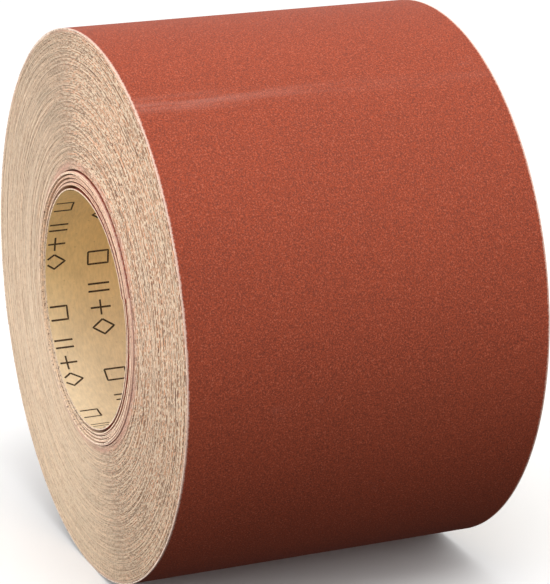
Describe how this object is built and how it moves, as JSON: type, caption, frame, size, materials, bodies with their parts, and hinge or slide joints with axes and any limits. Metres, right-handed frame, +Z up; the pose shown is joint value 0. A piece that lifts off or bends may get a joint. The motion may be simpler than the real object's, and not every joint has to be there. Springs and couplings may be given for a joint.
{
  "type": "abrasive paper roll",
  "caption": "Coreless roll of abrasive paper lying on its side: red-brown grit outside, tan paper inside, loose inner coils, and a taped free end that lifts and straightens.",
  "frame": {"origin": "on the axis of the roll, half-way between its two end faces", "axes": "+Y along the roll's axis from the front face to the back face, +Z up with the roll lying on its curved side, +X to the right seen from the front"},
  "size_m": [0.1718, 0.1158, 0.1716],
  "materials": {
    "wound_edges": "cut paper edges, matte",
    "backing_paper": "smooth kraft paper, matte",
    "abrasive_coat": "fine mineral grain bonded in resin, matte",
    "closing_tape": "creped paper tape, matte"
  },
  "bodies": {
    "roll": {"wound_pack": "wound_edges", "outer_turn_backing": "backing_paper", "outer_turn_grit": "abrasive_coat"},
    "inner_coil_1": {"inner_coil_1_backing": "backing_paper", "inner_coil_1_grit": "abrasive_coat"},
    "inner_coil_2": {"inner_coil_2_backing": "backing_paper", "inner_coil_2_grit": "abrasive_coat"},
    "inner_coil_3": {"inner_coil_3_backing": "backing_paper", "inner_coil_3_grit": "abrasive_coat"},
    "inner_coil_4": {"inner_coil_4_backing": "backing_paper", "inner_coil_4_grit": "abrasive_coat"},
    "inner_coil_5": {"inner_coil_5_backing": "backing_paper", "inner_coil_5_grit": "abrasive_coat"},
    "tail_1": {"tail_1_backing": "backing_paper", "tail_1_grit": "abrasive_coat"},
    "tail_2": {"tail_2_backing": "backing_paper", "tail_2_grit": "abrasive_coat"},
    "tail_3": {"tail_3_backing": "backing_paper", "tail_3_grit": "abrasive_coat"},
    "tail_4": {"tail_4_backing": "backing_paper", "tail_4_grit": "abrasive_coat"},
    "tail_5": {"tail_5_backing": "backing_paper", "tail_5_grit": "abrasive_coat"},
    "tail_6": {"tail_6_backing": "backing_paper", "tail_6_grit": "abrasive_coat", "tape_on_tail": "closing_tape"},
    "tape_flap": {"tape_on_roll": "closing_tape"}
  },
  "joints": [
    {"name": "coil_5_slide", "type": "slide", "parent": "roll", "child": "inner_coil_5", "axis": [0, -1, 0], "range_m": [-0.006, 0.006]},
    {"name": "coil_4_slide", "type": "slide", "parent": "inner_coil_5", "child": "inner_coil_4", "axis": [0, -1, 0], "range_m": [-0.006, 0.006]},
    {"name": "coil_3_slide", "type": "slide", "parent": "inner_coil_4", "child": "inner_coil_3", "axis": [0, -1, 0], "range_m": [-0.006, 0.006]},
    {"name": "coil_2_slide", "type": "slide", "parent": "inner_coil_3", "child": "inner_coil_2", "axis": [0, -1, 0], "range_m": [-0.006, 0.006]},
    {"name": "coil_1_slide", "type": "slide", "parent": "inner_coil_2", "child": "inner_coil_1", "axis": [0, -1, 0], "range_m": [-0.006, 0.006]},
    {"name": "tail_1_lift", "type": "hinge", "parent": "roll", "child": "tail_1", "pos_m": [-0.02944, 0, 0.08075], "axis": [0, 1, 0], "range_deg": [0, 15]},
    {"name": "tail_2_lift", "type": "hinge", "parent": "tail_1", "child": "tail_2", "pos_m": [-0.04936, 0, 0.07039], "axis": [0, 1, 0], "range_deg": [0, 15]},
    {"name": "tail_3_lift", "type": "hinge", "parent": "tail_2", "child": "tail_3", "pos_m": [-0.06591, 0, 0.05522], "axis": [0, 1, 0], "range_deg": [0, 15]},
    {"name": "tail_4_lift", "type": "hinge", "parent": "tail_3", "child": "tail_4", "pos_m": [-0.07797, 0, 0.03628], "axis": [0, 1, 0], "range_deg": [0, 15]},
    {"name": "tail_5_lift", "type": "hinge", "parent": "tail_4", "child": "tail_5", "pos_m": [-0.08472, 0, 0.01487], "axis": [0, 1, 0], "range_deg": [0, 15]},
    {"name": "tail_6_lift", "type": "hinge", "parent": "tail_5", "child": "tail_6", "pos_m": [-0.0857, 0, -0.00756], "axis": [0, 1, 0], "range_deg": [0, 15]},
    {"name": "tape_peel", "type": "hinge", "parent": "tail_6", "child": "tape_flap", "pos_m": [-0.08098, 0, -0.02953], "axis": [0, 1, 0], "range_deg": [0, 120]}
  ],
  "couplings": [
    {"joint": "coil_4_slide", "follows": "coil_5_slide", "ratio": 1},
    {"joint": "coil_3_slide", "follows": "coil_5_slide", "ratio": 1},
    {"joint": "coil_2_slide", "follows": "coil_5_slide", "ratio": 1},
    {"joint": "coil_1_slide", "follows": "coil_5_slide", "ratio": 1},
    {"joint": "tail_2_lift", "follows": "tail_1_lift", "ratio": 1},
    {"joint": "tail_3_lift", "follows": "tail_1_lift", "ratio": 1},
    {"joint": "tail_4_lift", "follows": "tail_1_lift", "ratio": 1},
    {"joint": "tail_5_lift", "follows": "tail_1_lift", "ratio": 1},
    {"joint": "tail_6_lift", "follows": "tail_1_lift", "ratio": 1}
  ]
}
